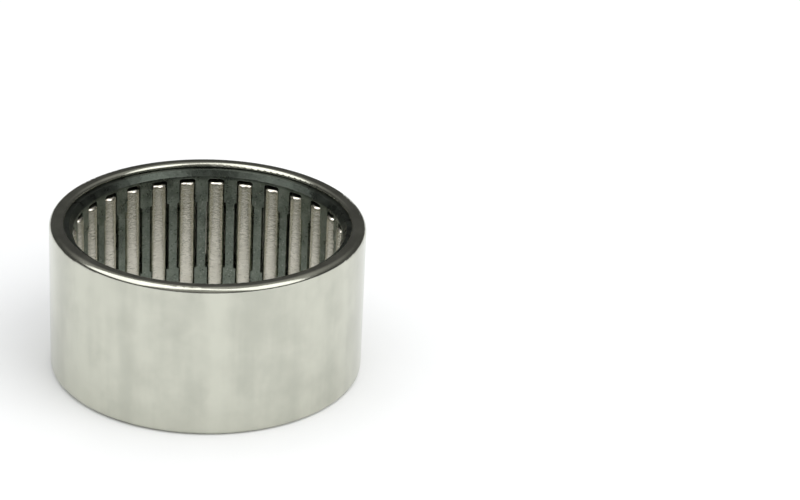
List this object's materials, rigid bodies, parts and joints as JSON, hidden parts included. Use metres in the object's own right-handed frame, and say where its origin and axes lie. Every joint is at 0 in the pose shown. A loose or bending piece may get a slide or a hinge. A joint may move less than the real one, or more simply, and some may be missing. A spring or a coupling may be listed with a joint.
{
  "type": "needle roller bearing",
  "caption": "Drawn cup needle roller bearing, open at both ends, with a sheet cage guiding a full ring of slim rollers.",
  "frame": {"origin": "centre of the bearing, on its axis and halfway across its width", "axes": "+Z along the bearing's axis; the bearing is the same both ways up; one needle lies on +X"},
  "size_m": [0.0381, 0.038, 0.019],
  "materials": {
    "cup_steel": "satin drawn and case-hardened steel",
    "cage_steel": "dark grey-green hardened sheet steel, lightly oiled",
    "needle_steel": "ground bearing steel, lightly oiled"
  },
  "bodies": {
    "cup": {"drawn_cup": "cup_steel"},
    "retainer": {"cage": "cage_steel"},
    "roller_01": {"needle_01": "needle_steel"},
    "roller_02": {"needle_02": "needle_steel"},
    "roller_03": {"needle_03": "needle_steel"},
    "roller_04": {"needle_04": "needle_steel"},
    "roller_05": {"needle_05": "needle_steel"},
    "roller_06": {"needle_06": "needle_steel"},
    "roller_07": {"needle_07": "needle_steel"},
    "roller_08": {"needle_08": "needle_steel"},
    "roller_09": {"needle_09": "needle_steel"},
    "roller_10": {"needle_10": "needle_steel"},
    "roller_11": {"needle_11": "needle_steel"},
    "roller_12": {"needle_12": "needle_steel"},
    "roller_13": {"needle_13": "needle_steel"},
    "roller_14": {"needle_14": "needle_steel"},
    "roller_15": {"needle_15": "needle_steel"},
    "roller_16": {"needle_16": "needle_steel"},
    "roller_17": {"needle_17": "needle_steel"},
    "roller_18": {"needle_18": "needle_steel"},
    "roller_19": {"needle_19": "needle_steel"},
    "roller_20": {"needle_20": "needle_steel"},
    "roller_21": {"needle_21": "needle_steel"},
    "roller_22": {"needle_22": "needle_steel"},
    "roller_23": {"needle_23": "needle_steel"},
    "roller_24": {"needle_24": "needle_steel"},
    "roller_25": {"needle_25": "needle_steel"},
    "roller_26": {"needle_26": "needle_steel"},
    "roller_27": {"needle_27": "needle_steel"},
    "roller_28": {"needle_28": "needle_steel"}
  },
  "joints": [
    {"name": "cage_spin", "type": "hinge", "parent": "cup", "child": "retainer", "pos_m": [0, 0, 0], "axis": [0, 0, 1], "continuous": true},
    {"name": "needle_01_spin", "type": "hinge", "parent": "retainer", "child": "roller_01", "pos_m": [0.01707, 0, 0], "axis": [0, 0, 1], "continuous": true},
    {"name": "needle_02_spin", "type": "hinge", "parent": "retainer", "child": "roller_02", "pos_m": [0.01664, 0.0038, 0], "axis": [0, 0, 1], "continuous": true},
    {"name": "needle_03_spin", "type": "hinge", "parent": "retainer", "child": "roller_03", "pos_m": [0.01538, 0.0074, 0], "axis": [0, 0, 1], "continuous": true},
    {"name": "needle_04_spin", "type": "hinge", "parent": "retainer", "child": "roller_04", "pos_m": [0.01334, 0.01064, 0], "axis": [0, 0, 1], "continuous": true},
    {"name": "needle_05_spin", "type": "hinge", "parent": "retainer", "child": "roller_05", "pos_m": [0.01064, 0.01334, 0], "axis": [0, 0, 1], "continuous": true},
    {"name": "needle_06_spin", "type": "hinge", "parent": "retainer", "child": "roller_06", "pos_m": [0.0074, 0.01538, 0], "axis": [0, 0, 1], "continuous": true},
    {"name": "needle_07_spin", "type": "hinge", "parent": "retainer", "child": "roller_07", "pos_m": [0.0038, 0.01664, 0], "axis": [0, 0, 1], "continuous": true},
    {"name": "needle_08_spin", "type": "hinge", "parent": "retainer", "child": "roller_08", "pos_m": [0, 0.01707, 0], "axis": [0, 0, 1], "continuous": true},
    {"name": "needle_09_spin", "type": "hinge", "parent": "retainer", "child": "roller_09", "pos_m": [-0.0038, 0.01664, 0], "axis": [0, 0, 1], "continuous": true},
    {"name": "needle_10_spin", "type": "hinge", "parent": "retainer", "child": "roller_10", "pos_m": [-0.0074, 0.01538, 0], "axis": [0, 0, 1], "continuous": true},
    {"name": "needle_11_spin", "type": "hinge", "parent": "retainer", "child": "roller_11", "pos_m": [-0.01064, 0.01334, 0], "axis": [0, 0, 1], "continuous": true},
    {"name": "needle_12_spin", "type": "hinge", "parent": "retainer", "child": "roller_12", "pos_m": [-0.01334, 0.01064, 0], "axis": [0, 0, 1], "continuous": true},
    {"name": "needle_13_spin", "type": "hinge", "parent": "retainer", "child": "roller_13", "pos_m": [-0.01538, 0.0074, 0], "axis": [0, 0, 1], "continuous": true},
    {"name": "needle_14_spin", "type": "hinge", "parent": "retainer", "child": "roller_14", "pos_m": [-0.01664, 0.0038, 0], "axis": [0, 0, 1], "continuous": true},
    {"name": "needle_15_spin", "type": "hinge", "parent": "retainer", "child": "roller_15", "pos_m": [-0.01707, 0, 0], "axis": [0, 0, 1], "continuous": true},
    {"name": "needle_16_spin", "type": "hinge", "parent": "retainer", "child": "roller_16", "pos_m": [-0.01664, -0.0038, 0], "axis": [0, 0, 1], "continuous": true},
    {"name": "needle_17_spin", "type": "hinge", "parent": "retainer", "child": "roller_17", "pos_m": [-0.01538, -0.0074, 0], "axis": [0, 0, 1], "continuous": true},
    {"name": "needle_18_spin", "type": "hinge", "parent": "retainer", "child": "roller_18", "pos_m": [-0.01334, -0.01064, 0], "axis": [0, 0, 1], "continuous": true},
    {"name": "needle_19_spin", "type": "hinge", "parent": "retainer", "child": "roller_19", "pos_m": [-0.01064, -0.01334, 0], "axis": [0, 0, 1], "continuous": true},
    {"name": "needle_20_spin", "type": "hinge", "parent": "retainer", "child": "roller_20", "pos_m": [-0.0074, -0.01538, 0], "axis": [0, 0, 1], "continuous": true},
    {"name": "needle_21_spin", "type": "hinge", "parent": "retainer", "child": "roller_21", "pos_m": [-0.0038, -0.01664, 0], "axis": [0, 0, 1], "continuous": true},
    {"name": "needle_22_spin", "type": "hinge", "parent": "retainer", "child": "roller_22", "pos_m": [0, -0.01707, 0], "axis": [0, 0, 1], "continuous": true},
    {"name": "needle_23_spin", "type": "hinge", "parent": "retainer", "child": "roller_23", "pos_m": [0.0038, -0.01664, 0], "axis": [0, 0, 1], "continuous": true},
    {"name": "needle_24_spin", "type": "hinge", "parent": "retainer", "child": "roller_24", "pos_m": [0.0074, -0.01538, 0], "axis": [0, 0, 1], "continuous": true},
    {"name": "needle_25_spin", "type": "hinge", "parent": "retainer", "child": "roller_25", "pos_m": [0.01064, -0.01334, 0], "axis": [0, 0, 1], "continuous": true},
    {"name": "needle_26_spin", "type": "hinge", "parent": "retainer", "child": "roller_26", "pos_m": [0.01334, -0.01064, 0], "axis": [0, 0, 1], "continuous": true},
    {"name": "needle_27_spin", "type": "hinge", "parent": "retainer", "child": "roller_27", "pos_m": [0.01538, -0.0074, 0], "axis": [0, 0, 1], "continuous": true},
    {"name": "needle_28_spin", "type": "hinge", "parent": "retainer", "child": "roller_28", "pos_m": [0.01664, -0.0038, 0], "axis": [0, 0, 1], "continuous": true}
  ],
  "couplings": [
    {"joint": "needle_01_spin", "follows": "cage_spin", "ratio": -15.352},
    {"joint": "needle_02_spin", "follows": "cage_spin", "ratio": -15.352},
    {"joint": "needle_03_spin", "follows": "cage_spin", "ratio": -15.352},
    {"joint": "needle_04_spin", "follows": "cage_spin", "ratio": -15.352},
    {"joint": "needle_05_spin", "follows": "cage_spin", "ratio": -15.352},
    {"joint": "needle_06_spin", "follows": "cage_spin", "ratio": -15.352},
    {"joint": "needle_07_spin", "follows": "cage_spin", "ratio": -15.352},
    {"joint": "needle_08_spin", "follows": "cage_spin", "ratio": -15.352},
    {"joint": "needle_09_spin", "follows": "cage_spin", "ratio": -15.352},
    {"joint": "needle_10_spin", "follows": "cage_spin", "ratio": -15.352},
    {"joint": "needle_11_spin", "follows": "cage_spin", "ratio": -15.352},
    {"joint": "needle_12_spin", "follows": "cage_spin", "ratio": -15.352},
    {"joint": "needle_13_spin", "follows": "cage_spin", "ratio": -15.352},
    {"joint": "needle_14_spin", "follows": "cage_spin", "ratio": -15.352},
    {"joint": "needle_15_spin", "follows": "cage_spin", "ratio": -15.352},
    {"joint": "needle_16_spin", "follows": "cage_spin", "ratio": -15.352},
    {"joint": "needle_17_spin", "follows": "cage_spin", "ratio": -15.352},
    {"joint": "needle_18_spin", "follows": "cage_spin", "ratio": -15.352},
    {"joint": "needle_19_spin", "follows": "cage_spin", "ratio": -15.352},
    {"joint": "needle_20_spin", "follows": "cage_spin", "ratio": -15.352},
    {"joint": "needle_21_spin", "follows": "cage_spin", "ratio": -15.352},
    {"joint": "needle_22_spin", "follows": "cage_spin", "ratio": -15.352},
    {"joint": "needle_23_spin", "follows": "cage_spin", "ratio": -15.352},
    {"joint": "needle_24_spin", "follows": "cage_spin", "ratio": -15.352},
    {"joint": "needle_25_spin", "follows": "cage_spin", "ratio": -15.352},
    {"joint": "needle_26_spin", "follows": "cage_spin", "ratio": -15.352},
    {"joint": "needle_27_spin", "follows": "cage_spin", "ratio": -15.352},
    {"joint": "needle_28_spin", "follows": "cage_spin", "ratio": -15.352}
  ]
}
